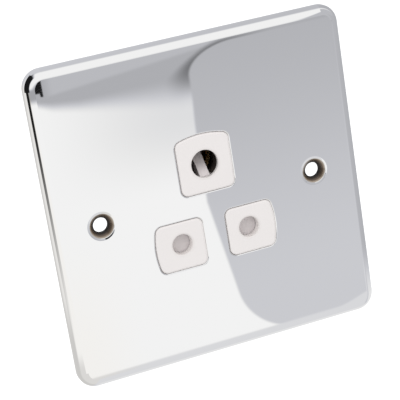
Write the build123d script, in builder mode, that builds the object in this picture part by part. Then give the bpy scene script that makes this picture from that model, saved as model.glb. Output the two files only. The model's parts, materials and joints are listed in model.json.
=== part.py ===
from build123d import *
from math import sqrt
import os

# Flush wall socket outlet for round three-pin plugs, unswitched, with a pressed metal plate.
# Frame: X to the right, Z up, the plate's face towards -Y, the wall plane at Y = 0.
# Millimetres. A "y" value is a depth: the face is at -plate_depth, the back box at positive y.

# Face plate, one pressing of thin sheet
plate_size = 86.6
plate_corner_r = 5.0
plate_depth = 3.6
plate_edge_r = 2.5
plate_sheet = 0.9
fixing_spacing = 60.3
fixing_hole_r = 2.0
sink_r = 3.3
sink_lip_r = 0.35
sink_land = 0.8
aperture_gap = 0.25
aperture_lip_r = 0.35

# Studs welded to the back of the plate, one above and one below the housing
stud_beyond = 4.2
stud_r = 1.45
stud_reach = 5.4

# Pin layout: earth on top, line and neutral below
earth_z = 9.4
power_x = 9.525
power_z = -10.6
earth_pin_r = 3.53
earth_pin_length = 20.6
power_pin_r = 2.54
pin_hole_gap = 0.2
power_hole_lip_r = 0.5
earth_hole_lip_r = 0.2

# White pads that stand through the plate's apertures
pad_proud = 0.15
pad_corner_r = 1.7
pad_edge_r = 0.3
top_pad_width = 14.6
top_pad_bottom_z = 1.95
top_pad_side_z = 16.1
top_pad_apex_z = 17.3
side_pad_width = 12.6
side_pad_z = -10.9
side_pad_inner_x = 3.45
side_pad_outer_x = 15.9
side_pad_apex_x = 16.8

# Front housing, a white moulded cap behind the plate
housing_width = 42.0
housing_height = 43.6
housing_corner_r = 3.0
housing_wall = 1.8
housing_depth = 9.3
front_wall = 1.1
ear_width = 11.0
ear_thickness = 1.8
ear_beyond_stud = 4.0
ear_hole_r = 1.65
boss_inset = 4.0
boss_r = 2.8
pilot_r = 1.35
pilot_depth = 6.5

# Shutter, and the dark frame and carrier that guide it
slide_gap = 0.3
shutter_travel = 6.0
shutter_plate = 1.6
blank_half_width = 13.0
blank_top_z = -7.7
blank_bottom_z = -13.7
blank_corner_r = 0.8
stem_half_width = 4.8
stem_top_z = 5.7
stem_wall = 1.2
stem_side_bottom_z = 0.0
stem_side_depth = 1.9
stem_roof = 1.5
stem_roof_depth = 2.4
ramp_width = 2.7
ramp_nose = 1.0
ramp_start_z = 5.85
ramp_top_z = 11.5
ramp_rise = 5.3
ramp_tip = 0.4
collar_wall = 1.15
collar_gap = 0.15
collar_bore_gap = 0.3
collar_face = 0.9
carrier_gap = 0.15

# Return spring of the shutter
spring_r = 1.5
spring_wire_r = 0.18
spring_turns = 9
spring_y = 2.15
spring_seat_z = -9.6
spring_end_gap = 0.05
spring_slot_gap = 0.4
peg_r = 0.85
peg_length = 1.8

# Brass contacts: a split sleeve with a flat lug at its rear end
sleeve_gap = 0.06
sleeve_wall = 0.8
sleeve_mouth_y = 4.3
sleeve_slot = 0.8
sleeve_slot_stop = 2.0
sleeve_flare = 0.4
lug_sheet = 1.0
lug_width = 6.0
grip_carrier_gap = 0.6
grip_length = 3.0
grip_sheet = 0.5
grip_seat_gap = 0.03
grip_gap_width = 3.2

# Terminal blocks and their screws
block_width = 6.4
block_height = 6.2
block_depth = 7.6
earth_block_x = 8.7
power_block_out = 0.875
power_block_rise = 7.4
wire_bore_r = 2.1
wire_bore_wall = 1.0
clamp_thread_r = 1.25
screw_gap = 0.05
clamp_head_r = 2.6
clamp_head_height = 1.8
slot_width = 0.7
slot_share = 0.45

# Terminal base, a dark walled frame between the poles, and the cover that closes its back
pocket_gap = 0.3
cover_thickness = 1.9
divider = 1.6
partition = 1.2
turret_wall = 1.6
turret_bore_gap = 0.4
pin_end_gap = 0.4
driver_hole_gap = 0.5
wire_way_width = 5.2
wire_way_depth = 6.2

# Screws that hold base and housing together
assembly_shank_r = 1.3
assembly_clear_r = 1.6
assembly_head_r = 2.6
assembly_head_height = 1.0
assembly_sink = 1.2
assembly_head_gap = 0.3
post_wall = 1.2

# Nuts on the studs, and the strap that bonds the plate to the earth contact
nut_flat_r = 2.75
nut_height = 2.4
nut_bore_gap = 0.05
strap_sheet = 0.8
strap_width = 6.0
strap_tag_r = 3.6
strap_gap = 0.3
strap_screw_beyond = 4.0
strap_end_beyond = 2.9
strap_screw_r = 1.2
strap_hole_r = 1.35

# Small additions used by several pieces
cut_beyond = 0.5
size_match = 0.01
screw_slot_angle = 30

# Planes and levels that follow from the sizes above
face_y = -plate_depth
plate_back_y = face_y + plate_sheet
pad_face_y = face_y - pad_proud
cavity_y = plate_back_y + front_wall
earth_hole_r = earth_pin_r + pin_hole_gap
power_hole_r = power_pin_r + pin_hole_gap
earth_sleeve_r = earth_pin_r + sleeve_gap
power_sleeve_r = power_pin_r + sleeve_gap
joint_y = plate_back_y + housing_depth
shutter_front_y = cavity_y + slide_gap
shutter_back_y = shutter_front_y + shutter_plate
shutter_floor_y = shutter_back_y + slide_gap
cavity_half_x = housing_width / 2 - housing_wall
cavity_half_z = housing_height / 2 - housing_wall
ear_back_y = plate_back_y + ear_thickness
stem_underside_z = stem_top_z - stem_roof
nose_y = shutter_front_y - ramp_nose
nose_groove_y = nose_y - slide_gap
ramp_end_y = nose_y + ramp_rise
collar_bore_r = earth_hole_r + collar_bore_gap
collar_r = collar_bore_r + collar_wall
collar_front_y = face_y + collar_face
grip_front_y = joint_y + grip_carrier_gap
block_front_y = joint_y + pocket_gap
wire_bore_y = block_front_y + wire_bore_wall + wire_bore_r
lug_y = block_front_y + block_depth
lug_back_y = lug_y + lug_sheet
base_back_y = lug_back_y + cover_thickness
stud_z = housing_height / 2 + stud_beyond
strap_z = housing_height / 2 + strap_gap
strap_screw_z = housing_height / 2 + strap_screw_beyond
power_block_x = power_x + power_block_out
power_block_z = power_z + power_block_rise
boss_x = housing_width / 2 - boss_inset
boss_z = housing_height / 2 - boss_inset
corners = [(sx * boss_x, sz * boss_z) for sx in (-1, 1) for sz in (-1, 1)]

os.makedirs("parts", exist_ok=True)


def upright(y):
    """Plane parallel to the face at depth y: local x is X, local y is Z, extrusions run to -Y."""
    return Plane(origin=(0, y, 0), x_dir=(1, 0, 0), z_dir=(0, -1, 0))


def save(builder, name):
    """Label a finished piece and write it."""
    builder.part.label = name
    export_step(builder.part, f"parts/{name}.step")


def pad_profile(width, flat, side, apex):
    """Outline of a pad: flat inner side, straight flanks and an outer side bowed outwards."""
    with BuildSketch() as profile:
        with BuildLine():
            Polyline((-width / 2, side), (-width / 2, flat), (width / 2, flat), (width / 2, side))
            ThreePointArc((width / 2, side), (0, apex), (-width / 2, side))
        make_face()
        fillet(profile.vertices(), pad_corner_r)
    return profile.sketch


top_pad = pad_profile(top_pad_width, top_pad_bottom_z, top_pad_side_z, top_pad_apex_z)
side_pad = pad_profile(side_pad_width, side_pad_inner_x, side_pad_outer_x, side_pad_apex_x)


def all_pads():
    """Lay the three pad outlines into the sketch that is open."""
    add(top_pad)
    with Locations((0, side_pad_z)):
        add(side_pad, rotation=90)
        add(side_pad, rotation=-90)


def tray_form(inset):
    """Solid with the plate's rolled edges, drawn in on every side by the inset."""
    size = plate_size - 2 * inset
    with BuildPart() as form:
        with BuildSketch(upright(0)):
            RectangleRounded(size, size, plate_corner_r - inset)
        extrude(amount=plate_depth - inset)
        fillet(form.faces().sort_by(Axis.Y)[0].edges(), plate_edge_r - inset)
    return form.part


# Face plate: a drawn tray with rolled edges, three apertures and two countersunk dimples
tray_outside = tray_form(0)
tray_inside = tray_form(plate_sheet)
with BuildPart() as face_plate:
    add(tray_outside)
    add(tray_inside, mode=Mode.SUBTRACT)
    with BuildSketch(upright(plate_back_y)) as apertures:
        all_pads()
        offset(amount=aperture_gap)
    extrude(amount=plate_sheet, mode=Mode.SUBTRACT)
    rim = face_plate.faces().filter_by(Axis.Y).sort_by(Axis.Y)[0]
    for wire in rim.inner_wires():
        fillet(wire.edges(), aperture_lip_r)
    dimple_depth = sink_r - fixing_hole_r + sink_land
    back_cone_r = sink_r + plate_sheet * sqrt(2)
    dimple_cut_r = back_cone_r - plate_sheet
    for x in (-fixing_spacing / 2, fixing_spacing / 2):
        with BuildSketch(upright(plate_back_y)):
            with Locations((x, 0)):
                Circle(dimple_cut_r)
        extrude(amount=plate_sheet, mode=Mode.SUBTRACT)
        with BuildSketch(Plane.XY):
            with BuildLine():
                Polyline(
                    (x + dimple_cut_r, face_y),
                    (x + sink_r, face_y),
                    (x + fixing_hole_r, face_y + sink_r - fixing_hole_r),
                    (x + fixing_hole_r, face_y + dimple_depth),
                    (x + back_cone_r - dimple_depth, face_y + dimple_depth),
                    (x + dimple_cut_r, plate_back_y),
                    close=True,
                )
            make_face()
        revolve(axis=Axis((x, 0, 0), (0, 1, 0)))
    lips = face_plate.edges().filter_by(GeomType.CIRCLE).filter_by(lambda e: abs(e.radius - sink_r) < size_match)
    fillet(lips, sink_lip_r)
    with BuildSketch(upright(plate_back_y)):
        with Locations((0, stud_z), (0, -stud_z)):
            Circle(stud_r)
    extrude(amount=-stud_reach)
save(face_plate, "face_plate")

# Front housing: cap with pads, pin holes, corner bosses and two ears for the plate's studs
ear_z = stud_z + ear_beyond_stud
with BuildPart() as front_housing:
    with BuildSketch(upright(joint_y)):
        RectangleRounded(housing_width, housing_height, housing_corner_r)
    extrude(amount=housing_depth)
    with BuildSketch(upright(joint_y)):
        RectangleRounded(2 * cavity_half_x, 2 * cavity_half_z, housing_corner_r - housing_wall)
    extrude(amount=joint_y - cavity_y, mode=Mode.SUBTRACT)
    with BuildSketch(upright(ear_back_y)):
        with Locations((0, ear_z / 2), (0, -ear_z / 2)):
            RectangleRounded(ear_width, ear_z, housing_corner_r)
        RectangleRounded(2 * cavity_half_x, 2 * cavity_half_z, housing_corner_r, mode=Mode.SUBTRACT)
    extrude(amount=ear_thickness)
    with BuildSketch(upright(ear_back_y)):
        with Locations((0, stud_z), (0, -stud_z)):
            Circle(ear_hole_r)
    extrude(amount=ear_thickness, mode=Mode.SUBTRACT)
    with BuildSketch(upright(plate_back_y)):
        all_pads()
    extrude(amount=plate_sheet + pad_proud)
    fillet(front_housing.faces().group_by(Axis.Y)[0].edges(), pad_edge_r)
    with BuildSketch(upright(joint_y)):
        with Locations(*corners):
            Circle(boss_r)
    extrude(amount=joint_y - cavity_y)
    with BuildSketch(upright(joint_y)):
        with Locations(*corners):
            Circle(pilot_r)
    extrude(amount=pilot_depth, mode=Mode.SUBTRACT)
    with BuildSketch(upright(cavity_y)):
        with Locations((0, earth_z)):
            Circle(earth_hole_r)
        with Locations((-power_x, power_z), (power_x, power_z)):
            Circle(power_hole_r)
    extrude(amount=cavity_y - pad_face_y, mode=Mode.SUBTRACT)
    with BuildSketch(upright(cavity_y)):
        with Locations((0, earth_z)):
            Circle(collar_r + collar_gap)
    extrude(amount=cavity_y - collar_front_y, mode=Mode.SUBTRACT)
    groove_top = earth_z
    groove_bottom = stem_underside_z - shutter_travel - slide_gap
    with BuildSketch(upright(cavity_y)):
        with Locations((0, (groove_top + groove_bottom) / 2)):
            Rectangle(ramp_width + 2 * slide_gap, groove_top - groove_bottom)
    extrude(amount=cavity_y - nose_groove_y, mode=Mode.SUBTRACT)
    mouths = front_housing.edges().filter_by(GeomType.CIRCLE).group_by(Axis.Y)[0]
    fillet(mouths.filter_by(lambda e: abs(e.radius - power_hole_r) < size_match), power_hole_lip_r)
    fillet(mouths.filter_by(lambda e: abs(e.radius - earth_hole_r) < size_match), earth_hole_lip_r)
save(front_housing, "front_housing")

# Shutter: blanking arms over the power holes, a stem, and a ramp that the earth pin pushes down
with BuildPart() as shutter:
    with BuildSketch(upright(shutter_back_y)):
        with Locations((0, (blank_top_z + blank_bottom_z) / 2)):
            RectangleRounded(2 * blank_half_width, blank_top_z - blank_bottom_z, blank_corner_r)
        with Locations((0, (stem_top_z + blank_bottom_z) / 2)):
            RectangleRounded(2 * stem_half_width, stem_top_z - blank_bottom_z, blank_corner_r)
    extrude(amount=shutter_plate)
    with BuildSketch(upright(shutter_back_y + stem_roof_depth)):
        with Locations((0, stem_top_z - stem_roof / 2)):
            Rectangle(2 * stem_half_width, stem_roof)
    extrude(amount=stem_roof_depth)
    with BuildSketch(upright(shutter_back_y + stem_side_depth)):
        for side in (-1, 1):
            with Locations(
                (side * (stem_half_width - stem_wall / 2), (stem_top_z + stem_side_bottom_z) / 2)
            ):
                Rectangle(stem_wall, stem_top_z - stem_side_bottom_z)
    extrude(amount=stem_side_depth)
    with BuildSketch(Plane.YZ):
        with BuildLine():
            Polyline(
                (nose_y, stem_underside_z),
                (nose_y, ramp_start_z),
                (ramp_end_y, ramp_top_z),
                (ramp_end_y + ramp_tip, ramp_top_z),
                (ramp_end_y + ramp_tip, stem_underside_z),
                close=True,
            )
        make_face()
    extrude(amount=ramp_width / 2, both=True)
    with BuildSketch(Plane.XY.offset(stem_underside_z)):
        with Locations((0, spring_y)):
            Circle(peg_r)
    extrude(amount=-peg_length)
save(shutter, "shutter")

boss_notch = 2 * (boss_r + carrier_gap)


def cavity_outline():
    """Lay the outline that fills the cap's cavity, notched for its bosses, into the open sketch."""
    RectangleRounded(
        2 * (cavity_half_x - carrier_gap),
        2 * (cavity_half_z - carrier_gap),
        housing_corner_r - housing_wall - carrier_gap,
    )
    with Locations(*corners):
        Rectangle(boss_notch, boss_notch, mode=Mode.SUBTRACT)


# Shutter frame: dark plate behind the cap, open for the shutter, with the collar of the earth hole
arm_pocket_half = blank_half_width + slide_gap
arm_pocket_top = blank_top_z + slide_gap
stem_pocket_half = stem_half_width + slide_gap
stem_pocket_top = stem_top_z + slide_gap
with BuildPart() as shutter_frame:
    with BuildSketch(upright(shutter_floor_y)):
        cavity_outline()
        with Locations((0, (arm_pocket_top - cavity_half_z) / 2)):
            Rectangle(2 * arm_pocket_half, arm_pocket_top + cavity_half_z, mode=Mode.SUBTRACT)
        with Locations((0, (stem_pocket_top - cavity_half_z) / 2)):
            Rectangle(2 * stem_pocket_half, stem_pocket_top + cavity_half_z, mode=Mode.SUBTRACT)
    extrude(amount=shutter_floor_y - cavity_y)
    with BuildSketch(upright(cavity_y)):
        with Locations((0, earth_z)):
            Circle(collar_r)
    extrude(amount=cavity_y - collar_front_y)
    with BuildSketch(upright(shutter_floor_y)):
        with Locations((0, earth_z)):
            Circle(collar_bore_r)
        with Locations((0, (earth_z + stem_pocket_top - collar_r) / 2)):
            Rectangle(ramp_width + 2 * slide_gap, earth_z - stem_pocket_top + collar_r)
    extrude(amount=shutter_floor_y - collar_front_y, mode=Mode.SUBTRACT)
save(shutter_frame, "shutter_frame")

# Shutter carrier: dark block behind the frame, with the stem's channel and the ways of the pins
side_bottom_open = stem_side_bottom_z - shutter_travel - slide_gap
stem_channel_y = shutter_back_y + stem_roof_depth + slide_gap
spring_slot_y = spring_y + spring_r + spring_slot_gap
spring_slot_half = spring_r + spring_slot_gap
with BuildPart() as shutter_carrier:
    with BuildSketch(upright(joint_y)):
        cavity_outline()
        with Locations((0, earth_z)):
            Circle(collar_r, mode=Mode.SUBTRACT)
        with Locations((-power_x, power_z), (power_x, power_z)):
            Circle(power_sleeve_r + sleeve_wall + pocket_gap, mode=Mode.SUBTRACT)
    extrude(amount=joint_y - shutter_floor_y)
    with BuildSketch(upright(stem_channel_y)):
        with Locations((0, (stem_pocket_top + side_bottom_open) / 2)):
            Rectangle(2 * stem_pocket_half, stem_pocket_top - side_bottom_open)
    extrude(amount=stem_channel_y - shutter_floor_y, mode=Mode.SUBTRACT)
    with BuildSketch(upright(spring_slot_y)):
        with Locations((0, (stem_pocket_top + spring_seat_z) / 2)):
            Rectangle(2 * spring_slot_half, stem_pocket_top - spring_seat_z)
    extrude(amount=spring_slot_y - shutter_floor_y, mode=Mode.SUBTRACT)
save(shutter_carrier, "shutter_carrier")

# Return spring: open coil between the carrier's seat and the stem's roof
spring_low_z = spring_seat_z + spring_end_gap + spring_wire_r
spring_high_z = stem_underside_z - spring_end_gap - spring_wire_r
spring_pitch = (spring_high_z - spring_low_z) / spring_turns
spring_centre_r = spring_r - spring_wire_r
with BuildPart() as shutter_spring:
    with BuildLine():
        coil = Helix(
            pitch=spring_pitch,
            height=spring_high_z - spring_low_z,
            radius=spring_centre_r,
            center=(0, spring_y, spring_low_z),
        )
    with BuildSketch(Plane(origin=coil @ 0, z_dir=coil % 0)):
        Circle(spring_wire_r)
    sweep()
save(shutter_spring, "shutter_spring")


def contact(name, x, z, sleeve_r, block_x, block_z, tongue_top=None):
    """Split sleeve on the pin's axis, with a lug that reaches its terminal block."""
    outer_r = sleeve_r + sleeve_wall
    with BuildPart() as piece:
        with BuildSketch(upright(lug_y)):
            with Locations((x, z)):
                Circle(outer_r)
        extrude(amount=lug_y - sleeve_mouth_y)
        with BuildSketch(upright(lug_back_y)):
            with Locations((x, z)):
                Circle(outer_r)
            with Locations(((x + block_x) / 2, (z + block_z) / 2)):
                if abs(block_x - x) < abs(block_z - z):
                    Rectangle(2 * min(outer_r, block_width / 2), abs(block_z - z))
                else:
                    Rectangle(abs(block_x - x), lug_width)
            with Locations((block_x, block_z)):
                RectangleRounded(block_width, lug_width, slot_width)
            if tongue_top is not None:
                with Locations((x, (z + tongue_top) / 2)):
                    Rectangle(strap_width, tongue_top - z)
        extrude(amount=lug_sheet)
        with BuildSketch(upright(lug_back_y)):
            with Locations((x, z)):
                Circle(sleeve_r)
            with Locations((block_x, block_z)):
                Circle(clamp_thread_r + 2 * screw_gap)
            if tongue_top is not None:
                with Locations((x, strap_screw_z)):
                    Circle(strap_hole_r)
        extrude(amount=lug_back_y - sleeve_mouth_y, mode=Mode.SUBTRACT)
        mouth = piece.edges().filter_by(GeomType.CIRCLE).group_by(Axis.Y)[0]
        chamfer(mouth.filter_by(lambda e: abs(e.radius - sleeve_r) < size_match), sleeve_flare)
        with BuildSketch(upright(lug_y - sleeve_slot_stop)):
            with Locations((x, z)):
                Rectangle(sleeve_slot, 2 * (outer_r + cut_beyond))
        extrude(amount=lug_y - sleeve_slot_stop - sleeve_mouth_y, mode=Mode.SUBTRACT)
    save(piece, f"{name}_contact")


def grip_spring(name, x, z, sleeve_r):
    """Open steel band that squeezes the sleeve's leaves together."""
    inner_r = sleeve_r + sleeve_wall + grip_seat_gap
    with BuildPart() as piece:
        with BuildSketch(upright(grip_front_y + grip_length)):
            with Locations((x, z)):
                Circle(inner_r + grip_sheet)
                Circle(inner_r, mode=Mode.SUBTRACT)
            with Locations((x, z - inner_r)):
                Rectangle(grip_gap_width, 4 * grip_sheet, mode=Mode.SUBTRACT)
        extrude(amount=grip_length)
    save(piece, f"{name}_grip_spring")


def terminal(name, x, z):
    """Brass block with a cross bore for the wires and a threaded hole for the clamp screw."""
    with BuildPart() as piece:
        with BuildSketch(upright(lug_y)):
            with Locations((x, z)):
                RectangleRounded(block_width, block_height, slot_width)
        extrude(amount=lug_y - block_front_y)
        with BuildSketch(upright(lug_y)):
            with Locations((x, z)):
                Circle(clamp_thread_r)
        extrude(amount=lug_y - wire_bore_y, mode=Mode.SUBTRACT)
        with BuildSketch(Plane.YZ.offset(x)):
            with Locations((wire_bore_y, z)):
                Circle(wire_bore_r)
        extrude(amount=block_width / 2, both=True, mode=Mode.SUBTRACT)
    save(piece, f"{name}_terminal")


def slotted_screw(name, x, z, seat_y, tip_y, shank_r, head_r, head_height):
    """Cheese-head screw entered from the back, its head's underside on the plane seat_y."""
    with BuildPart() as piece:
        with BuildSketch(upright(seat_y)):
            with Locations((x, z)):
                Circle(shank_r)
        extrude(amount=seat_y - tip_y)
        chamfer(piece.faces().sort_by(Axis.Y)[0].edges(), shank_r / 4)
        with BuildSketch(upright(seat_y + head_height)):
            with Locations((x, z)):
                Circle(head_r)
        extrude(amount=head_height)
        fillet(piece.faces().sort_by(Axis.Y)[-1].edges(), head_height / 4)
        with BuildSketch(upright(seat_y + head_height)):
            with Locations((x, z)):
                Rectangle(2 * (head_r + cut_beyond), slot_width, rotation=screw_slot_angle)
        extrude(amount=slot_share * head_height, mode=Mode.SUBTRACT)
    save(piece, name)


# The three poles, each a contact, its grip spring, its terminal block and its clamp screw
tongue_top_z = strap_screw_z + strap_end_beyond
clamp_tip_y = wire_bore_y + wire_bore_r + 2 * screw_gap
contact("earth", 0, earth_z, earth_sleeve_r, earth_block_x, earth_z, tongue_top_z)
contact("line", power_x, power_z, power_sleeve_r, power_block_x, power_block_z)
contact("neutral", -power_x, power_z, power_sleeve_r, -power_block_x, power_block_z)
grip_spring("earth", 0, earth_z, earth_sleeve_r)
grip_spring("line", power_x, power_z, power_sleeve_r)
grip_spring("neutral", -power_x, power_z, power_sleeve_r)
for pole, block_x, block_z in (
    ("earth", earth_block_x, earth_z),
    ("line", power_block_x, power_block_z),
    ("neutral", -power_block_x, power_block_z),
):
    terminal(pole, block_x, block_z)
    slotted_screw(
        f"{pole}_terminal_screw",
        block_x,
        block_z,
        lug_back_y,
        clamp_tip_y,
        clamp_thread_r - screw_gap,
        clamp_head_r,
        clamp_head_height,
    )

# Terminal base: a dark frame of walls, posts and dividers that keeps the poles apart
post_size = 2 * (assembly_head_r + assembly_head_gap + post_wall)
divider_z = power_block_z + block_height / 2 + pocket_gap + divider / 2
partition_z = block_height / 2 + pocket_gap + partition / 2
blocks = [(earth_block_x, earth_z), (power_block_x, power_block_z), (-power_block_x, power_block_z)]
with BuildPart() as terminal_base:
    with BuildSketch(upright(lug_back_y)):
        RectangleRounded(housing_width, housing_height, housing_corner_r)
        with BuildSketch(mode=Mode.SUBTRACT):
            RectangleRounded(2 * cavity_half_x, 2 * cavity_half_z, housing_corner_r - housing_wall)
            with Locations(*corners):
                Rectangle(post_size, post_size, mode=Mode.SUBTRACT)
            with Locations((0, divider_z)):
                Rectangle(housing_width, divider, mode=Mode.SUBTRACT)
            with Locations((0, (divider_z - cavity_half_z) / 2)):
                Rectangle(divider, divider_z + cavity_half_z, mode=Mode.SUBTRACT)
            for z in (earth_z - partition_z, earth_z + partition_z):
                with Locations(((earth_block_x + cavity_half_x) / 2, z)):
                    Rectangle(cavity_half_x - earth_block_x, partition, mode=Mode.SUBTRACT)
    extrude(amount=lug_back_y - joint_y)
    with BuildSketch(upright(joint_y + wire_way_depth)):
        for x, z in blocks:
            side = housing_width / 2 if x > 0 else -housing_width / 2
            with Locations((side, z)):
                Rectangle(2 * (housing_wall + cut_beyond), wire_way_width)
    extrude(amount=wire_way_depth, mode=Mode.SUBTRACT)
    with BuildSketch(upright(lug_back_y)):
        with Locations((0, housing_height / 2)):
            Rectangle(strap_width + 2 * pocket_gap, 2 * (housing_wall + cut_beyond))
    extrude(amount=lug_back_y - joint_y, mode=Mode.SUBTRACT)
    with BuildSketch(upright(lug_back_y)):
        with Locations(*corners):
            Circle(assembly_clear_r)
    extrude(amount=lug_back_y - joint_y, mode=Mode.SUBTRACT)
save(terminal_base, "terminal_base")

# Back cover: plate over the base, with a turret for the tip of the earth pin and driver holes
turret_bore_r = earth_sleeve_r + turret_bore_gap
assembly_seat_y = base_back_y - assembly_sink
pin_end_y = face_y + earth_pin_length + pin_end_gap
with BuildPart() as back_cover:
    with BuildSketch(upright(base_back_y)):
        RectangleRounded(housing_width, housing_height, housing_corner_r)
        with Locations(*blocks):
            Circle(clamp_head_r + driver_hole_gap, mode=Mode.SUBTRACT)
        with Locations(*corners):
            Circle(assembly_clear_r, mode=Mode.SUBTRACT)
    extrude(amount=cover_thickness)
    with BuildSketch(upright(pin_end_y + turret_wall)):
        with Locations((0, earth_z)):
            Circle(turret_bore_r + turret_wall)
    extrude(amount=pin_end_y + turret_wall - lug_back_y)
    with BuildSketch(upright(pin_end_y)):
        with Locations((0, earth_z)):
            Circle(turret_bore_r)
    extrude(amount=pin_end_y - lug_back_y, mode=Mode.SUBTRACT)
    with BuildSketch(upright(base_back_y)):
        with Locations(*corners):
            Circle(assembly_head_r + assembly_head_gap)
    extrude(amount=assembly_sink, mode=Mode.SUBTRACT)
save(back_cover, "back_cover")

# Four screws from the back, through the cover and the base into the housing's bosses
for number, (x, z) in enumerate(corners, start=1):
    slotted_screw(
        f"housing_screw_{number}",
        x,
        z,
        assembly_seat_y,
        joint_y - pilot_depth + slide_gap,
        assembly_shank_r,
        assembly_head_r,
        assembly_head_height,
    )


def hex_nut(name, seat_y, z, bore_r):
    """Plain nut on an axis along Y at height z, its front face on the plane seat_y."""
    with BuildPart() as piece:
        with BuildSketch(upright(seat_y + nut_height)):
            with Locations((0, z)):
                RegularPolygon(nut_flat_r, 6, major_radius=False)
                Circle(bore_r, mode=Mode.SUBTRACT)
        extrude(amount=nut_height)
    save(piece, name)


# Nuts on the studs. The upper one also clamps the bonding strap's tag.
hex_nut("plate_nut_top", ear_back_y + strap_sheet, stud_z, stud_r + nut_bore_gap)
hex_nut("plate_nut_bottom", ear_back_y, -stud_z, stud_r + nut_bore_gap)

# Bonding strap: tag on the upper stud, run over the housing, foot on the earth contact's tongue
foot_y = lug_y - strap_sheet
with BuildPart() as earth_strap:
    with BuildSketch(upright(ear_back_y + strap_sheet)):
        with Locations((0, stud_z)):
            Circle(strap_tag_r)
        with Locations((0, (stud_z + strap_z) / 2)):
            Rectangle(strap_width, stud_z - strap_z)
        with Locations((0, stud_z)):
            Circle(ear_hole_r, mode=Mode.SUBTRACT)
    extrude(amount=strap_sheet)
    with BuildSketch(Plane.XY.offset(strap_z)):
        with Locations((0, (ear_back_y + lug_y) / 2)):
            Rectangle(strap_width, lug_y - ear_back_y)
    extrude(amount=strap_sheet)
    with BuildSketch(upright(lug_y)):
        with Locations((0, (strap_z + tongue_top_z) / 2)):
            Rectangle(strap_width, tongue_top_z - strap_z)
        with Locations((0, strap_screw_z)):
            Circle(strap_hole_r, mode=Mode.SUBTRACT)
    extrude(amount=strap_sheet)
save(earth_strap, "earth_strap")
slotted_screw(
    "strap_screw",
    0,
    strap_screw_z,
    lug_back_y,
    foot_y - nut_height,
    strap_screw_r,
    clamp_head_r,
    clamp_head_height,
)
hex_nut("strap_nut", foot_y - nut_height, strap_screw_z, strap_screw_r + nut_bore_gap)
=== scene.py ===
# %% [markdown]
# # A chrome wall socket for round pins
#
# The object is a flush wall socket: a pressed square plate with a bright chrome finish, three
# white pads with pin holes, a shutter behind them and brass contacts deep inside. Its solids come
# from a CAD model, and this script dresses them: it sets the camera and a small studio, and gives
# each kind of piece a procedural finish. All lengths are in metres, X is to the right, Z is up,
# and the plate faces -Y.

import json
from math import radians

import bpy
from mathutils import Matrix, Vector


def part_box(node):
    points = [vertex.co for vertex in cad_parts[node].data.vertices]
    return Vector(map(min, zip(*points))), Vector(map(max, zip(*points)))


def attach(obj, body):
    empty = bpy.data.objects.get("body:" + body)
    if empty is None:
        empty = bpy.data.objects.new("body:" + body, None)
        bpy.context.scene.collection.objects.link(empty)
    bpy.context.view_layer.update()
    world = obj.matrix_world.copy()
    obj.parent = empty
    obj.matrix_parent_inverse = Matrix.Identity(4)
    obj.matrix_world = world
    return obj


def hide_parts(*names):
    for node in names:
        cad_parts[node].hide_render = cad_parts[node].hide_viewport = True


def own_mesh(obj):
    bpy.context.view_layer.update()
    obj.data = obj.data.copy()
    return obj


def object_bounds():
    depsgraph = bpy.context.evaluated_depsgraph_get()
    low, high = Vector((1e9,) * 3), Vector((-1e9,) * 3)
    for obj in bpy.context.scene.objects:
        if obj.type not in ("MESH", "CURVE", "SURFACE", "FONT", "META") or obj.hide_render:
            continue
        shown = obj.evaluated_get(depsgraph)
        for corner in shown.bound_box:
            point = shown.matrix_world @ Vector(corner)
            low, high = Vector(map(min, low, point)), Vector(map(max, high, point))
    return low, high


MM = 0.001

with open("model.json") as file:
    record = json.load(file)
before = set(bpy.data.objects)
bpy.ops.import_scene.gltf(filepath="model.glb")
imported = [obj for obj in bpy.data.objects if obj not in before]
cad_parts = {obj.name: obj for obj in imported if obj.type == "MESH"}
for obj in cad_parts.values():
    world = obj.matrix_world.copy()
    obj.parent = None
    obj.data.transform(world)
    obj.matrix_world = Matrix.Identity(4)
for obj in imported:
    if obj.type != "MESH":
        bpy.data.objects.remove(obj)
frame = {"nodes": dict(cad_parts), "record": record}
cad_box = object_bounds()
nodes = frame["nodes"]
plate_low, plate_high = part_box("face_plate")
face_y = plate_low.y
plate_half = plate_high.x
print("loaded", len(nodes), "pieces, plate half width", round(plate_half, 4))

# %% [markdown]
# ## Camera
#
# The photograph was taken from the left and a little above with a long lens, so the plate's
# sides hardly run together. A camera can be placed by turning it by hand, or by naming the point
# where it stands, the point it looks at and how far it leans over. The second way is used here,
# because each of the three values means something by itself. The lean comes from the photograph,
# where the plate looks slightly tipped.

# %% Camera
camera_place = Vector((-0.1260, -0.3822, 0.1240))
camera_aim = Vector((-0.00287, face_y, 0.00012))
camera_lean = radians(-9.214)
sensor_width = 36.0
focal_length = 143.33

camera_data = bpy.data.cameras.new("studio_camera")
camera_data.sensor_width = sensor_width
camera_data.lens = focal_length
camera_data.clip_start = 0.01
camera = bpy.data.objects.new("studio_camera", camera_data)
bpy.context.scene.collection.objects.link(camera)
camera.location = camera_place
camera.rotation_euler = (camera_aim - camera_place).to_track_quat("-Z", "Y").to_euler()
camera.rotation_euler.rotate_axis("Z", camera_lean)
bpy.context.scene.camera = camera
bpy.context.scene.view_settings.view_transform = "Standard"
print("camera at", tuple(round(v, 3) for v in camera_place))

# %% [markdown]
# ## Shader arithmetic
#
# A procedural finish is a formula over the surface: distance from a hole, height up the plate,
# a little noise. In Blender each step of such a formula is a Math node, and a long chain of them
# is hard to read. The small class below wraps a socket, so that a formula can be written with
# plain + - * / and still becomes nodes. Its node() method adds any other kind of node, and the
# functions after it fill a colour ramp, read a source such as coordinates, and open and close a
# material.

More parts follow.
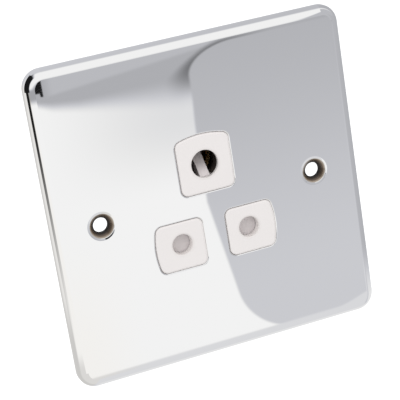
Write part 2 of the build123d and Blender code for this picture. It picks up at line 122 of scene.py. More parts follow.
# %% Socket wrapper
class Wire:
    """An output socket of a node tree; arithmetic on it adds Math nodes."""

    def __init__(self, tree, socket):
        self.tree = tree
        self.socket = socket

    def node(self, kind, settings, inputs, output=0):
        """Add a node, set its settings, fill or link its sockets, and return one output."""
        made = self.tree.nodes.new("ShaderNode" + kind)
        for name, value in settings.items():
            if name == "stops":
                fill_ramp(made.color_ramp, value)
            else:
                setattr(made, name, value)
        for name, value in inputs.items():
            if isinstance(value, Wire):
                self.tree.links.new(value.socket, made.inputs[name])
            else:
                made.inputs[name].default_value = value
        return Wire(self.tree, made.outputs[output])

    def math(self, operation, *values):
        """One Math node on the given values."""
        return self.node("Math", {"operation": operation}, dict(enumerate(values)))

    def __add__(self, other):
        return self.math("ADD", self, other)

    __radd__ = __add__

    def __sub__(self, other):
        return self.math("SUBTRACT", self, other)

    def __rsub__(self, other):
        return self.math("SUBTRACT", other, self)

    def __mul__(self, other):
        return self.math("MULTIPLY", self, other)

    __rmul__ = __mul__

    def __truediv__(self, other):
        return self.math("DIVIDE", self, other)

    def __rtruediv__(self, other):
        return self.math("DIVIDE", other, self)

    def __pow__(self, other):
        return self.math("POWER", self, other)

    def at_least(self, other):
        """The larger of this value and another."""
        return self.math("MAXIMUM", self, other)

    def towards(self, target, share):
        """This value moved towards a target by a share from 0 to 1."""
        return self + share * (target - self)

    def rise(self, low, high):
        """0 below low, 1 above high, and a smooth step between them."""
        settings = {"interpolation_type": "SMOOTHSTEP"}
        return self.node("MapRange", settings, {"Value": self, "From Min": low, "From Max": high})

    def split(self):
        """The three components of a vector."""
        return [self.node("SeparateXYZ", {}, {"Vector": self}, output=i) for i in range(3)]

    def blend(self, first, second):
        """Mix two colours, with this value as the share of the second."""
        inputs = {0: self, 6: first, 7: second}
        for place, value in inputs.items():
            inputs[place] = value if isinstance(value, Wire) else (*value, 1)
        return self.node("Mix", {"data_type": "RGBA"}, inputs, output=2)


def fill_ramp(ramp, stops):
    """Give a colour ramp its stops, a list of (place, colour)."""
    while len(ramp.elements) > 1:
        ramp.elements.remove(ramp.elements[-1])
    ramp.elements[0].position = stops[0][0]
    ramp.elements[0].color = (*stops[0][1], 1)
    for place, colour in stops[1:]:
        ramp.elements.new(place).color = (*colour, 1)


def source(tree, kind, output):
    """The named output of a node that has no inputs to fill."""
    made = tree.nodes.new("ShaderNode" + kind)
    return Wire(tree, made.outputs[output])


def plain_finish(name):
    """A new empty material and the wire of its Object coordinates."""
    material = bpy.data.materials.new(name)
    material.use_nodes = True
    material.node_tree.nodes.clear()
    return material, source(material.node_tree, "TexCoord", "Object")


def close_finish(material, shader):
    """Join a shader to the material's output."""
    output = material.node_tree.nodes.new("ShaderNodeOutputMaterial")
    material.node_tree.links.new(shader.socket, output.inputs["Surface"])
    return material


print("shader arithmetic ready")

# %% [markdown]
# ## The mirrored room
#
# A polished plate has almost no colour of its own: what it shows is the room. In the photograph
# its left half mirrors a bright table top with a soft grey wall behind it, and its right half a
# large grey panel with rounded corners. The same room could be built from cards around the
# object, or painted on the world. The world is used, because it is light, has no shape that gets
# in the camera's way, and lets each edge be set by direction. Only mirror-like rays see it.
#
# A flat mirror turns each direction of the room into one point of the plate. So the cell below
# first works out that point, in millimetres from the plate's centre, and the wall's foot and
# the panel's outline are then drawn with plain lengths. The plate's rolled edges look further
# round, so the tones there are set by the direction's own three parts: side, ahead and height.

# %% Directions of the room
stand_off = 378.6
stand_left = 126.0
stand_up = 124.0
least_ahead = 0.02

world = bpy.data.worlds.new("studio_world")
bpy.context.scene.world = world
world.use_nodes = True
world.node_tree.nodes.clear()
world.cycles.sampling_method = "NONE"
side, depth, height = source(world.node_tree, "TexCoord", "Generated").split()
ahead = -1 * depth
ahead_depth = ahead.at_least(least_ahead)
seen_x = stand_off * side / ahead_depth - stand_left
seen_z = stand_off * height / ahead_depth + stand_up
print("room directions taken to the plate")

# %% [markdown]
# ### Table
#
# The table is nearly white and grows a little darker towards the wall. It could be one flat tone,
# but a real table top takes less light where the wall shades it. Every range below is a pair of
# places between which a smooth step runs from 0 to 1.

# %% Table
table_tone = 0.965
table_shade = 0.17
shade_up = (2.0, 24.0)
shade_along = (-46.0, -4.0)

room = table_tone - table_shade * (seen_z.rise(*shade_up) * seen_x.rise(*shade_along))
print("table tone", table_tone)

# %% [markdown]
# ### Wall
#
# The wall is an even grey with two small changes: it is a little lighter above a faint slanting
# line, and darker far to the left, where only the plate's rolled edge sees it.

# %% Wall
wall_tone = 0.463
wall_lift = 0.075
lift_slope = 0.08
lift_up = (38.8, 40.0)
lift_along = (-39.0, -36.0)
far_wall_tone = 0.4
far_along = (-75.0, -48.0)

lifted = (seen_z - lift_slope * seen_x).rise(*lift_up) * seen_x.rise(*lift_along)
far_left = 1 - seen_x.rise(*far_along)
wall = (wall_tone + wall_lift * lifted).towards(far_wall_tone, far_left)
print("wall tone", wall_tone)

# %% [markdown]
# ### Foot of the wall
#
# The wall starts in a soft line that climbs to the left. The line is made with a smooth step
# between two heights, and both heights are themselves formulas of the place from left to right,
# so the step is narrow on the left and wide in the middle. On the rolled left edge the line is
# held back, because the mirror squeezes the whole wall into a few tenths of a millimetre there.

# %% Foot of the wall
foot_left = -42.0
foot_right = -4.0
foot_end_along = (-42.0, -36.5)
low_middle = 23.2
low_climb = 0.225
low_end = 1.2
high_middle = 34.2
high_bend = -30.0
high_climb = 0.12
high_end = 0.4
roll_heights = (-0.2245, -0.2195)
flat_along = (-60.0, -42.0)

foot_x = seen_x.node("Clamp", {}, {"Value": seen_x, "Min": foot_left, "Max": foot_right})
foot_end = 1 - seen_x.rise(*foot_end_along)
foot_low = low_middle - low_climb * foot_x + low_end * foot_end
foot_high = high_middle + high_climb * (high_bend - foot_x).at_least(0) + high_end * foot_end
wall_share = seen_z.rise(foot_low, foot_high).at_least(far_left)
wall_share = wall_share * height.rise(*roll_heights).at_least(seen_x.rise(*flat_along))
room = room.towards(wall, wall_share)
print("wall starts at", low_middle, "to", high_middle, "mm")

# %% [markdown]
# ### Overhead light
#
# Above the wall the room is bright, and the plate's rolled top edge shows that as a white band.
# The light could start at one height everywhere, but in the photograph the band runs out before
# the right corner. So the height is raised more and more steeply towards that side.

# %% Overhead light
overhead_tone = 0.95
overhead_up = (46.0, 150.0)
overhead_raise = 1000.0
raise_side = (0.365, 0.415)

raised_by = overhead_raise * side.rise(*raise_side) ** 2.0
room = room.towards(overhead_tone, (seen_z - raised_by).rise(*overhead_up))
print("overhead tone", overhead_tone)

# %% [markdown]
# ### Outline of the grey panel
#
# Its outline is a rectangle with rounded corners whose left side leans in towards the foot. The
# distance to such an outline has a short formula: measure how far a point lies past the corner's
# centre in each direction, squash those two lengths so that the corner becomes a circle, and take
# the length of what is left. Near its top the left side steps in a little, and past the plate's
# right end the foot drops, so that no bright line is left on the rolled edge.

# %% Outline of the grey panel
panel_left = -0.7
panel_top = 40.0
panel_foot = -41.0
corner_wide = 13.0
corner_top = 7.0
corner_foot = 13.0
lean_start = -1.0
lean_slope = 0.18
step_in = 0.5
step_up = (18.0, 30.0)
drop_start = 41.0
drop_slope = 0.27

lean = lean_slope * (lean_start - seen_z).at_least(0)
drop = drop_slope * (seen_x - drop_start).at_least(0)
left_side = panel_left + step_in * seen_z.rise(*step_up) + lean
past_side = ((left_side + corner_wide - seen_x) / corner_wide).at_least(0)
past_top = (seen_z - panel_top + corner_top) / corner_top
past_foot = (panel_foot + corner_foot - drop - seen_z) / corner_foot
past_end = past_top.at_least(past_foot).at_least(0)
outline = (past_side * past_side + past_end * past_end) ** 0.5 - 1
print("panel from", panel_left, "mm, corners", corner_wide, "mm wide")

# %% [markdown]
# ### Grey panel and its shadow
#
# Next to the panel's upper corner the room is dark, as in the gap behind a card. The distance to
# the outline gives that shadow: it hugs the curve as a thin line at the top and widens to a soft
# smear down the side. The panel is painted over it, a little darker towards its top.

# %% Grey panel and its shadow
panel_tone = 0.65
panel_fall = 0.16
fall_up = (-30.0, 52.0)
panel_edge = (-0.02, 0.06)
shadow_tone = 0.19
shadow_width = 0.6
shadow_narrowing = 0.38
narrow_up = (32.0, 39.0)
shadow_reach = (0.05, 1.0)
shadow_up = (26.5, 36.0)
shadow_along = (8.0, 26.0)

width_here = shadow_width - shadow_narrowing * seen_z.rise(*narrow_up)
shadow = 1 - (outline / width_here).rise(*shadow_reach)
shadow = shadow * seen_z.rise(*shadow_up) * (1 - seen_x.rise(*shadow_along))
room = room.towards(shadow_tone, shadow)
panel_light = panel_tone - panel_fall * seen_z.rise(*fall_up)
room = room.towards(panel_light, 1 - outline.rise(*panel_edge))
print("panel tone", panel_tone, "shadow tone", shadow_tone)

# %% [markdown]
# ### Below and beside the plate
#
# The plate's lower rolled edge looks down onto the near end of the table, which is light grey,
# and its right edge looks sideways past the panel. The lower tone starts along a straight line
# that lifts towards the right corner, as the light band in the photograph does.

# %% Below and beside the plate
under_tone = 0.75
under_edge = (39.7, 40.4)
under_lift = 2.6
lift_right = (31.5, 44.0)
under_heights = (0.372, 0.384)
right_weight = 0.055
right_tone = 0.5
right_side = (0.5, 0.72)
right_heights = (0.0, 0.2)
low_tone = 0.84
low_side = (0.6, 0.75)
low_heights = (0.335, 0.37)

under = (under_lift * seen_x.rise(*lift_right) - seen_z).rise(*under_edge)
under = under * (right_weight * side.at_least(0) - height).rise(*under_heights)
room = room.towards(under_tone, under)
room = room.towards(right_tone, side.rise(*right_side) * (1 - height.rise(*right_heights)))
low = (-1 * height).rise(*low_heights)
room = room.towards(low_tone, side.rise(*low_side) * low)
print("tones below and beside", under_tone, right_tone, low_tone)

# %% [markdown]
# ### Black bar
#
# In the upper left corner of the plate a black bar shows, whatever it was in the photographer's
# room. It is a rectangle with two soft ends, and a small notch in its foot.

# %% Black bar
black = 0.012
bar_left = (-90.0, -70.0)
bar_right = (-39.0, -38.8)
bar_foot = (37.5, 37.7)
bar_top = (85.0, 105.0)
notch_along = (-39.7, -39.6)

bar = seen_x.rise(*bar_left) * (1 - seen_x.rise(*bar_right))
bar = bar * (seen_z + seen_x.rise(*notch_along)).rise(*bar_foot)
bar = bar * (1 - seen_z.rise(*bar_top))
room = room.towards(black, bar)
print("bar up to", bar_right[1], "mm")

# %% [markdown]
# ### Behind the plate
#
# The steepest part of the rolled edges looks back past the object, where the formulas above have
# no meaning. An even grey takes over there, lighter on the left than on the right, with tones of
# its own low down.

# %% Behind the plate
behind_tone = 0.65
behind_left = 0.2
behind_left_side = (0.3, 0.8)
behind_right = 0.17
behind_right_side = (0.1, 0.6)
low_right_side = (-0.1, 0.3)
low_left_tone = 0.64
low_left_side = (0.2, 0.5)
turn_back = (-0.07, 0.3)

other_side = -1 * side
behind = behind_tone + behind_left * other_side.rise(*behind_left_side)
behind = behind - behind_right * side.rise(*behind_right_side)
behind = behind.towards(low_tone, low * side.rise(*low_right_side))
behind = behind.towards(low_left_tone, low * other_side.rise(*low_left_side))
room = behind.towards(room, ahead.rise(*turn_back))
print("tone behind", behind_tone)

# %% [markdown]
# ### Black gap
#
# Far to the left stands a dark gap that gives the plate its black left outline. It is a band of
# directions between two limits, wider towards the plate's upper corner, and it fades out low down.

# %% Black gap
gap_side = (0.2, 0.5)
gap_back = (-0.2, -0.14)
gap_front = (0.34, 0.46)
gap_fade = (-0.375, -0.235)
corner_rise = (-0.21, -0.12)
corner_end = (0.75, 0.9)
wider_back = 0.35
wider_front = 0.25

gap_corner = height.rise(*corner_rise) * (1 - height.rise(*corner_end))
gap = other_side.rise(*gap_side) * (ahead + wider_back * gap_corner).rise(*gap_back)
gap = gap * (1 - (ahead - wider_front * gap_corner).rise(*gap_front))
room = room.towards(black, gap * height.rise(*gap_fade))
print("black gap from", gap_front[0], "ahead to", gap_back[1])

# %% [markdown]
# ### Light and background
#
# The Light Path node tells which kind of ray asks for the world's colour. Mirror-like rays get
# the room, the camera gets pure white, and all other rays get one even tone, so that matt
# surfaces are lit plainly from all round. The mirrored wall is tinted slightly blue and the
# lower left slightly warm, as in the photograph.

# %% Light and background
even_light = 0.78
plain_white = (1.0, 1.0, 1.0)
cool_wall = (0.975, 0.985, 1.04)
cool_tones = (0.6, 0.9)
warm_corner = (1.0, 0.985, 0.96)
warm_along = (-41.0, -22.0)
warm_up = (-34.0, 5.0)

glossy = source(world.node_tree, "LightPath", "Is Glossy Ray")
to_camera = source(world.node_tree, "LightPath", "Is Camera Ray")
tone = even_light + glossy * (room - even_light)
tone = tone.towards(1, to_camera)
tint = (glossy * (1 - room.rise(*cool_tones))).blend(plain_white, cool_wall)
warmth = glossy * (1 - seen_x.rise(*warm_along)) * (1 - seen_z.rise(*warm_up))
tint = warmth.blend(tint, warm_corner)
background = tone.node("Background", {}, {"Color": tint, "Strength": tone})
world_output = world.node_tree.nodes.new("ShaderNodeOutputWorld")
world.node_tree.links.new(background.socket, world_output.inputs["Surface"])
print("world painted with", len(world.node_tree.nodes), "nodes")

# %% [markdown]
# ## Floor and lamps
#
# The photograph has a plain white background without a shadow. A white floor far below the object
# gives that: it is pure white to the camera and matt to all other rays. It could be left out
# altogether, but then nothing would light the object from below. It is hidden from mirrors, and
# so are the two lamps. They are large and weak, as light through a paper screen would be.

# %% Floor and lamps
floor_drop = 0.35
floor_size = 12.0
floor_colour = (0.86, 0.86, 0.86, 1.0)
glow_colour = (1.0, 1.0, 1.0, 1.0)
floor_glow = 0.5

bpy.ops.object.select_all(action="DESELECT")
bpy.ops.mesh.primitive_plane_add(size=floor_size, location=(0, 0, cad_box[0][2] - floor_drop))
floor = bpy.context.object
floor.name = "studio_floor"
floor.visible_glossy = False
paper, place = plain_finish("white_paper")
paint = place.node("BsdfDiffuse", {}, {"Color": floor_colour})
glow = place.node("Emission", {}, {"Color": glow_colour, "Strength": floor_glow})
lit = place.node("AddShader", {}, {0: paint, 1: glow})
seen = source(paper.node_tree, "LightPath", "Is Camera Ray")
floor_look = seen.node("MixShader", {}, {0: seen, 1: paint, 2: lit})
floor.data.materials.append(close_finish(paper, floor_look))


def soft_lamp(name, place, size, power):
    """A square area lamp that shines from its place towards the object."""
    data = bpy.data.lights.new(name, "AREA")
    data.size = size
    data.energy = power
    lamp = bpy.data.objects.new(name, data)
    bpy.context.scene.collection.objects.link(lamp)
    lamp.location = place
    lamp.rotation_euler = (-Vector(place)).to_track_quat("-Z", "Y").to_euler()
    lamp.visible_glossy = False


soft_lamp("key_lamp", place=(-0.55, -0.55, 0.75), size=0.5, power=3.2)
soft_lamp("fill_lamp", place=(0.8, -0.5, 0.3), size=0.6, power=1.2)
print("floor and lamps placed")

# %% [markdown]
# ## Finishes
#
# Each of the model's pieces already has the name of a finish in the record. A finish could be a
# single colour, but no real surface is one: plating is duller where it wasn't polished, mouldings
# have a fine grain, brass tarnishes in clouds. So every finish below is a small formula on the
# object's own coordinates, which sends its results to colour, roughness and bump only.

# %% Shader shell and grain
def shell(material, place, colour, rough, metal, bump):
    """A Principled shader with wires for what varies and numbers for what doesn't."""
    inputs = {"Base Color": colour, "Roughness": rough, "Metallic": metal, "Normal": bump}
    return close_finish(material, place.node("BsdfPrincipled", {}, inputs))


def noise(place, scale, detail):
    """A cloudy value from 0 to 1 over the surface."""
    return place.node("TexNoise", {}, {"Vector": place, "Scale": scale, "Detail": detail})


def stretched(place, along_x, along_y, along_z):
    """The coordinates scaled by three factors, so that clouds become streaks."""
    factors = (along_x, along_y, along_z)
    return place.node("VectorMath", {"operation": "MULTIPLY"}, {0: place, 1: factors})


def raised(height, depth):
    """A bump that lifts the surface by a depth in metres where the height is 1."""
    return height.node("Bump", {}, {"Height": height, "Strength": 1.0, "Distance": depth})


print("shader shell ready")

# %% [markdown]
# ### Chrome plate
#
# The face is polished to a mirror, so its roughness is close to zero and its colour comes from
# the room. Three places differ. The screw sinks were punched before plating: they stay brownish,
# and a colour ramp over the distance from the hole's axis paints shade on them, dark towards the
# hole and in a thin dark line at the rim.
# The punch also draws the sheet in a little round each sink, and that shallow dimple is a bump,
# because it is far too slight to be worth faces. The rear was never polished, so it is satin.

# %% Chrome plate
screw_x = 30.15 * MM
corner_start = 38.3 * MM
sink_edge = 3.4 * MM
sink_foot = 2.0 * MM
sink_fade = 0.2 * MM
dimple_edge = 4.0 * MM
dimple_depth = 0.05 * MM
rear_rim = (4.12 * MM, 4.25 * MM)
rear_start = (face_y + 0.75 * MM, face_y + 0.87 * MM)
mirror_rough = 0.006
mirror_grain = 0.008
sink_rough = 0.2
stain_cover = 0.75
rear_rough = 0.3
rear_grain = 0.12
polished = (0.92, 0.92, 0.92)
satin = (0.6, 0.6, 0.62)
sink_tone_and_shade_stops = [(0.0, (0.012, 0.01, 0.008)), (0.3, (0.05, 0.038, 0.03)), (0.6, (0.15, 0.11, 0.08)),
              (0.8, (0.42, 0.35, 0.28)), (0.92, (0.46, 0.4, 0.33)), (1.0, (0.1, 0.08, 0.065))]


def chrome_finish():
    """Mirror chrome on the face, brownish screw sinks with painted shade, and a satin rear."""
    material, place = plain_finish("bright_chrome")
    grain = noise(place, scale=90.0, detail=3.0)
    x, y, z = place.split()
    off = x.math("ABSOLUTE", x) - screw_x
    away = (off * off + z * z) ** 0.5
    sink = 1 - away.rise(sink_edge - sink_fade, sink_edge)
    depth = (away - sink_foot) / (sink_edge - sink_foot)
    # Painted shade: the ramp darkens the sinks towards the hole and in a thin line at the rim,
    # over their brownish tone.
    stain_and_shade = depth.node("ValToRGB", {"stops": sink_tone_and_shade_stops}, {"Fac": depth})
    past_x = (x.math("ABSOLUTE", x) - corner_start).at_least(0)
    past_z = (z.math("ABSOLUTE", z) - corner_start).at_least(0)
    past = (past_x * past_x + past_z * past_z) ** 0.5
    rear = (1 - past.rise(*rear_rim)) * y.rise(*rear_start)
    metal_colour = rear.blend(polished, satin)
    colour = sink.blend(metal_colour, stain_and_shade)
    rough = mirror_rough + grain * mirror_grain + sink * sink_rough
    rough = rough + rear * (rear_rough + grain * rear_grain)
    dimple = away.rise(sink_edge - sink_fade, dimple_edge)
    metal = 1 - sink * stain_cover
    return shell(material, place, colour, rough, metal, raised(dimple, dimple_depth))


chrome = chrome_finish()
print("chrome has", len(chrome.node_tree.nodes), "nodes")

# %% [markdown]
# ### White and grey mouldings
#
# The pads and the cap behind the plate are one white moulding with a satin gloss. Close up it has
# the fine pebbled skin that the mould gave it. Round each hole a slightly darker ring is painted
# shade at the hole's edge, where pins have also rubbed the surface a little rougher. The rings
# come from the distance to the nearest hole's axis: the outer two holes mirror each other, so the
# absolute value of x serves both. The shutter is the same kind of plastic, greyer, and duller
# because pins slide on it; its ramp is painted paler towards its top, as painted light deep in
# the hole.

# %% White and grey mouldings
power_x = 9.525 * MM
power_z = -10.6 * MM
earth_z = 9.4 * MM
power_hole_r = 2.74 * MM
earth_hole_r = 3.73 * MM
ring_width = 0.9 * MM
hole_shade_share = 0.5
rub_rough = 0.12
white_rough = 0.3
white_skin_rough = 0.08
shutter_rough = 0.45
shutter_cloud_rough = 0.1
shutter_streak_rough = 0.08
ramp_light_up = (2.0 * MM, 11.5 * MM)
white_tones = ((0.885, 0.85, 0.84), (0.865, 0.83, 0.82))
painted_hole_shade_tone = (0.74, 0.7, 0.68)
shutter_tones = ((0.76, 0.71, 0.71), (0.71, 0.665, 0.665))
ramp_painted_light = (0.98, 0.905, 0.9)


def shade_and_rub_rings(place):
    """1 at the pin holes' edges, falling to 0 a little way out."""
    x, y, z = place.split()
    off = x.math("ABSOLUTE", x) - power_x
    power = (off * off + (z - power_z) ** 2.0) ** 0.5
    earth = (x * x + (z - earth_z) ** 2.0) ** 0.5
    near_power = 1 - power.rise(power_hole_r, power_hole_r + ring_width)
    near_earth = 1 - earth.rise(earth_hole_r, earth_hole_r + ring_width)
    return near_power.at_least(near_earth)


def white_finish():
    """White moulding with pebbled skin, faint clouds, and painted shade and rubbed roughness round
    the holes.
    """
    material, place = plain_finish("white_thermoplastic")
    skin = noise(place, scale=1500.0, detail=3.0)
    cloud = noise(place, scale=140.0, detail=2.0)
    shade_and_rub = shade_and_rub_rings(place)
    colour = cloud.blend(*white_tones)
    # Painted shade: a darker ring round each pin hole, at the hole's edge.
    colour = (shade_and_rub * hole_shade_share).blend(colour, painted_hole_shade_tone)
    rough = white_rough + skin * white_skin_rough + shade_and_rub * rub_rough
    return shell(material, place, colour, rough, 0.0, raised(skin, depth=0.004 * MM))


def shutter_finish():
    """Dull grey moulding with streaks where pins slide, and painted light making it palest high on
    the ramp.
    """
    material, place = plain_finish("shutter_thermoplastic")
    skin = noise(place, scale=1500.0, detail=3.0)
    cloud = noise(place, scale=300.0, detail=3.0)
    streaks = noise(stretched(place, 900.0, 90.0, 90.0), scale=1.0, detail=2.0)
    x, y, z = place.split()
    colour = cloud.blend(*shutter_tones)
    # Painted light: the ramp grows paler towards its top, so it reads brighter deep in the earth
    # hole.
    colour = z.rise(*ramp_light_up).blend(colour, ramp_painted_light)
    rough = shutter_rough + cloud * shutter_cloud_rough + streaks * shutter_streak_rough
    return shell(material, place, colour, rough, 0.0, raised(skin + streaks, depth=0.005 * MM))


white = white_finish()
shutter_grey = shutter_finish()
print("white has", len(white.node_tree.nodes), "nodes, shutter", len(shutter_grey.node_tree.nodes))

# %% [markdown]
# ### Dark moulding
#
# The base, its cover and the shutter's carrier are a dark thermoset, a filled resin that is cured
# in the mould. Its filler shows as faint brownish specks, and the pins that push the part out of
# the mould leave round marks. The specks are noise cut off high, and each mark is a thin ring
# between two distances.

# %% Dark moulding
mark_x = 7.0 * MM
mark_z = -14.5 * MM
mark_r = 1.6 * MM
mark_line = 0.12 * MM
mark_depth = 0.04 * MM
mark_rough = 0.1
skin_height = 0.15
dark_rough = 0.4
dark_skin_rough = 0.16
speck_cut = (0.62, 0.72)
dark_tones = ((0.055, 0.043, 0.036), (0.035, 0.03, 0.027))
speck_tone = (0.09, 0.07, 0.055)


def dark_finish():
    """Dark resin with brownish specks and the round marks of the ejector pins."""
    material, place = plain_finish("dark_thermoset")
    skin = noise(place, scale=1100.0, detail=4.0)
    specks = noise(place, scale=2600.0, detail=1.0).rise(*speck_cut)
    x, y, z = place.split()
    off = x.math("ABSOLUTE", x) - mark_x
    away = (off * off + (z - mark_z) ** 2.0) ** 0.5
    mark = away.rise(mark_r - mark_line, mark_r) * (1 - away.rise(mark_r, mark_r + mark_line))
    colour = skin.blend(*dark_tones)
    colour = specks.blend(colour, speck_tone)
    rough = dark_rough + skin * dark_skin_rough + mark * mark_rough
    bump = raised(skin * skin_height - mark, mark_depth)
    return shell(material, place, colour, rough, 0.0, bump)


dark = dark_finish()
print("dark moulding has", len(dark.node_tree.nodes), "nodes")

# %% [markdown]
# ### Brass and steel
#
# The sleeves and blocks are drawn and milled brass, with fine lines along the depth and brown
# clouds of tarnish. The screws, nuts and springs are zinc plated steel, bluish and patchy. Both
# could share one texture, but they age differently, so each gets its own clouds, and the lines
# are noise on stretched coordinates.

# %% Brass and steel
line_rough = 0.1
brass_rough = 0.2
tarnish_rough = 0.2
tarnish_cover = 0.45
steel_rough = 0.24
patch_rough = 0.14
tarnish_cut = (0.45, 0.72)
brass_tones = ((0.8, 0.57, 0.26), (0.7, 0.48, 0.21))
tarnish_tone = (0.45, 0.28, 0.13)
patch_cut = (0.35, 0.7)
steel_tones = ((0.66, 0.67, 0.69), (0.54, 0.55, 0.58))


def brass_finish():
    """Brass with milling lines along the depth and brown clouds of tarnish."""
    material, place = plain_finish("milled_brass")
    lines = noise(stretched(place, 2400.0, 160.0, 2400.0), scale=1.0, detail=2.0)
    tarnish = noise(place, scale=260.0, detail=4.0).rise(*tarnish_cut)
    colour = lines.blend(*brass_tones)
    colour = tarnish.blend(colour, tarnish_tone)
    rough = brass_rough + lines * line_rough + tarnish * tarnish_rough
    metal = 1 - tarnish * tarnish_cover
    return shell(material, place, colour, rough, metal, raised(lines, depth=0.006 * MM))


def steel_finish():
    """Zinc plated steel with turning lines and darker patches."""
    material, place = plain_finish("zinc_plated_steel")
    lines = noise(stretched(place, 300.0, 2600.0, 300.0), scale=1.0, detail=2.0)
    patches = noise(place, scale=420.0, detail=3.0).rise(*patch_cut)
    colour = patches.blend(*steel_tones)
    rough = steel_rough + lines * line_rough + patches * patch_rough
    return shell(material, place, colour, rough, 1.0, raised(lines, depth=0.005 * MM))


brass = brass_finish()
steel = steel_finish()
print("brass has", len(brass.node_tree.nodes), "nodes, steel", len(steel.node_tree.nodes))

# %% [markdown]
# ## Finishes onto the pieces
#
# The record names a slot for each of the model's pieces, and here each slot gets its material.
# The pieces could be dressed one by one, but through the record a new piece would get its finish
# without another line.

# %% Finishes onto the pieces
finishes = {"chrome_plate": chrome, "white_moulding": white, "shutter_moulding": shutter_grey,
            "dark_moulding": dark, "brass": brass, "steel": steel}
for entry in frame["record"]["subparts"]:
    piece = nodes[entry["node"]]
    for slot in piece.material_slots:
        slot.material = finishes[entry["material_slot"]]
print("finished", len(nodes), "pieces")

# %% [markdown]
# ## Modelling helpers
#
# The small pieces below are modelled as by hand, with operators in edit mode. An operator works on
# whatever is selected, so each piece starts with an empty selection. When its shape is done, its
# modifiers and its place are applied, so that the object sits at the origin as the model's own
# pieces do.

# %% Modelling helpers
merge_distance = 0.001 * MM
smooth_angle = radians(35)


def open_mesh(piece):
    """Make a piece the only selected object and enter edit mode with all of it selected."""
    bpy.ops.object.select_all(action="DESELECT")
    piece.select_set(True)
    bpy.context.view_layer.objects.active = piece
    bpy.ops.object.mode_set(mode="EDIT")
    bpy.ops.mesh.select_all(action="SELECT")


def apply_all(piece):
    """Apply a piece's modifiers, its place and its turn."""
    bpy.ops.object.mode_set(mode="OBJECT")
    for modifier in list(piece.modifiers):
        bpy.ops.object.modifier_apply(modifier=modifier.name)
    bpy.ops.object.transform_apply(location=True, rotation=True, scale=True)
    bpy.ops.object.shade_smooth_by_angle(angle=smooth_angle)


def dress(piece, name, slot_name):
    """Name a finished piece, give it its finish and let it ride on the housing."""
    piece.name = name
    piece.data.materials.clear()
    piece.data.materials.append(finishes[slot_name])
    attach(piece, "housing")
    print(name, "has", len(piece.data.polygons), "faces")


def copy_to(piece, shift):
    """A copy with its own mesh, moved by a shift, at the origin again."""
    twin = piece.copy()
    twin.data = piece.data.copy()
    bpy.context.scene.collection.objects.link(twin)
    bpy.ops.object.select_all(action="DESELECT")
    twin.select_set(True)
    bpy.context.view_layer.objects.active = twin
    twin.location = shift
    bpy.ops.object.transform_apply(location=True, rotation=False, scale=False)
    return twin


print("modelling helpers ready")

# %% [markdown]
# ## Return spring
#
# The spring under the shutter is squeezed when a pin pushes the shutter down. The solid can only
# stay as it is, so a copy of it takes its place here, with its loose triangles merged.

spring = bpy.data.objects.new("return_spring", nodes["shutter_spring"].data.copy())
bpy.context.scene.collection.objects.link(spring)
open_mesh(spring)
bpy.ops.mesh.remove_doubles(threshold=merge_distance)
apply_all(spring)
dress(spring, "return_spring", "steel")
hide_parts("shutter_spring")
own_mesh(spring)

# %% [markdown]
# ## Skirts round the pads
#
# Each pad stands in its aperture with a small gap, and just below the plate's face the moulding
# steps out and nearly fills it. That step is why the outline of a pad looks soft grey and not
# black. It could be drawn anew, but it must follow the pad's outline exactly, so a copy of the
# moulding is merged, cut down by two planes to a thin band of the pads' side walls, freed of the
# pin holes' walls, and thickened both ways. In the photograph the gap is dark on the left and
# can't be seen on the right, so the band is also moved a little to the right.

# %% Skirts round the pads
skirt_front_y = face_y + 0.1 * MM
skirt_back_y = face_y + 0.85 * MM
skirt_thickness = 0.3 * MM
skirt_shift = 0.09 * MM
wall_reach = 6.0 * MM
earth_wall_reach = 6.6 * MM

skirt = bpy.data.objects.new("pad_skirts", nodes["front_housing"].data.copy())
bpy.context.scene.collection.objects.link(skirt)
open_mesh(skirt)
bpy.ops.mesh.remove_doubles(threshold=merge_distance)
bpy.ops.mesh.bisect(plane_co=(0, skirt_front_y, 0), plane_no=(0, 1, 0), clear_inner=True)
bpy.ops.mesh.select_all(action="SELECT")
bpy.ops.mesh.bisect(plane_co=(0, skirt_back_y, 0), plane_no=(0, 1, 0), clear_outer=True)
bpy.ops.mesh.select_all(action="DESELECT")
bpy.ops.object.mode_set(mode="OBJECT")
for face in skirt.data.polygons:
    centre = face.center
    to_power = Vector((abs(centre.x) - power_x, centre.z - power_z)).length
    to_earth = Vector((centre.x, centre.z - earth_z)).length
    face.select = to_power < wall_reach or to_earth < earth_wall_reach
bpy.ops.object.mode_set(mode="EDIT")
bpy.ops.mesh.delete(type="FACE")
thick = skirt.modifiers.new("thick", "SOLIDIFY")
thick.thickness = skirt_thickness
thick.offset = 0.0
skirt.location.x = skirt_shift
apply_all(skirt)
dress(skirt, "pad_skirts", "white_moulding")

# %% [markdown]
# ## Rims round the driver holes
#
# The three holes in the cover that lead a screwdriver to the terminals have a low raised rim. A
# rim is a ring with a rounded top: it could be turned from a profile, but a circle that is
# extruded outwards, then backwards, gives the same ring in two steps. It is made once, at the
# earth terminal, and copied to the other two.

# %% Rims round the driver holes
cover_thickness = 1.9 * MM
cover_back_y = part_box("back_cover")[0].y + cover_thickness
ring_sides = 64
rim_inner_r = 3.15 * MM
rim_outer_r = 3.6 * MM
rim_height = 0.45 * MM
rim_softness = 0.12 * MM
rim_steps = 3
earth_driver_x = 8.7 * MM
driver_x = 10.4 * MM
driver_z = -3.2 * MM
earth_driver = Vector((earth_driver_x, cover_back_y, earth_z))
line_driver = Vector((driver_x, cover_back_y, driver_z))
neutral_driver = Vector((-driver_x, cover_back_y, driver_z))


def open_ring(radius, place):
    """A plain circle of edges round a line along Y, open for editing."""
    bpy.ops.object.select_all(action="DESELECT")
    bpy.ops.mesh.primitive_circle_add(vertices=ring_sides, radius=radius, location=place,
                                      rotation=(radians(90), 0, 0))
    ring = bpy.context.object
    open_mesh(ring)
    return ring


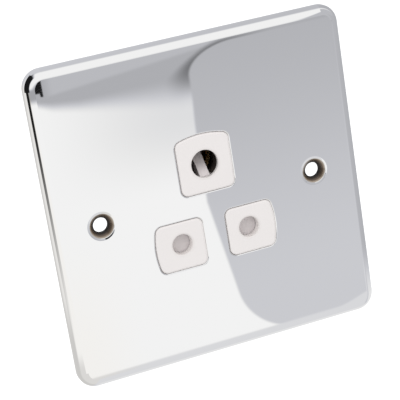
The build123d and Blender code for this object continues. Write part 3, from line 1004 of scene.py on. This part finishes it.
rim = open_ring(rim_inner_r, earth_driver)
bpy.ops.mesh.extrude_edges_move()
bpy.ops.transform.resize(value=(rim_outer_r / rim_inner_r,) * 3)
bpy.ops.mesh.select_all(action="SELECT")
bpy.ops.mesh.extrude_region_move(TRANSFORM_OT_translate={"value": (0, rim_height, 0)})
bpy.ops.mesh.select_all(action="SELECT")
bpy.ops.mesh.normals_make_consistent(inside=False)
soft = rim.modifiers.new("soft_edges", "BEVEL")
soft.width = rim_softness
soft.segments = rim_steps
apply_all(rim)
dress(rim, "earth_driver_rim", "dark_moulding")
dress(copy_to(rim, line_driver - earth_driver), "line_driver_rim", "dark_moulding")
dress(copy_to(rim, neutral_driver - earth_driver), "neutral_driver_rim", "dark_moulding")

# %% [markdown]
# ## Thread on the studs
#
# The ends of the two studs that carry the nuts are threaded. A true helix is one way, but on so
# short an end nobody can tell it from a stack of sharp rings, and rings are lighter. One ridge is
# a circle that is extruded out to its crest and back again, closed behind by a bridge, and then
# copied along the bottom stud; the top stud gets one copy.

# %% Thread on the studs
stud_z = 26.0 * MM
stud_r = 1.45 * MM
crest_r = 1.6 * MM
pitch = 0.36 * MM
stud_end_y = 2.7 * MM
ridge_sunk = 0.02 * MM
foot_reach = 0.03 * MM
nut_clearance = 0.05 * MM
bottom_nut_back_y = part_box("plate_nut_bottom")[1].y
top_nut_back_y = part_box("plate_nut_top")[1].y
ridge_y = bottom_nut_back_y + nut_clearance

ridge = open_ring(stud_r - ridge_sunk, (0, ridge_y, -stud_z))
bpy.ops.mesh.extrude_edges_move(TRANSFORM_OT_translate={"value": (0, pitch / 2, 0)})
bpy.ops.transform.resize(value=(crest_r / stud_r,) * 3)
bpy.ops.mesh.extrude_edges_move(TRANSFORM_OT_translate={"value": (0, pitch / 2, 0)})
bpy.ops.transform.resize(value=(stud_r / crest_r,) * 3)
bpy.ops.object.mode_set(mode="OBJECT")
for edge in ridge.data.edges:
    ends = [ridge.data.vertices[i].co for i in edge.vertices]
    edge.select = all(Vector((end.x, end.y)).length < stud_r + foot_reach for end in ends)
bpy.ops.object.mode_set(mode="EDIT")
bpy.ops.mesh.select_mode(type="EDGE")
bpy.ops.mesh.bridge_edge_loops()
bpy.ops.mesh.select_mode(type="FACE")
bpy.ops.mesh.select_all(action="SELECT")
bpy.ops.mesh.normals_make_consistent(inside=False)
apply_all(ridge)
dress(ridge, "bottom_stud_ridge_1", "steel")
count = int((stud_end_y - ridge_y) / pitch)
for step in range(1, count):
    dress(copy_to(ridge, (0, step * pitch, 0)), f"bottom_stud_ridge_{step + 1}", "steel")
top_shift = (0, top_nut_back_y - bottom_nut_back_y, 2 * stud_z)
dress(copy_to(ridge, top_shift), "top_stud_ridge_1", "steel")
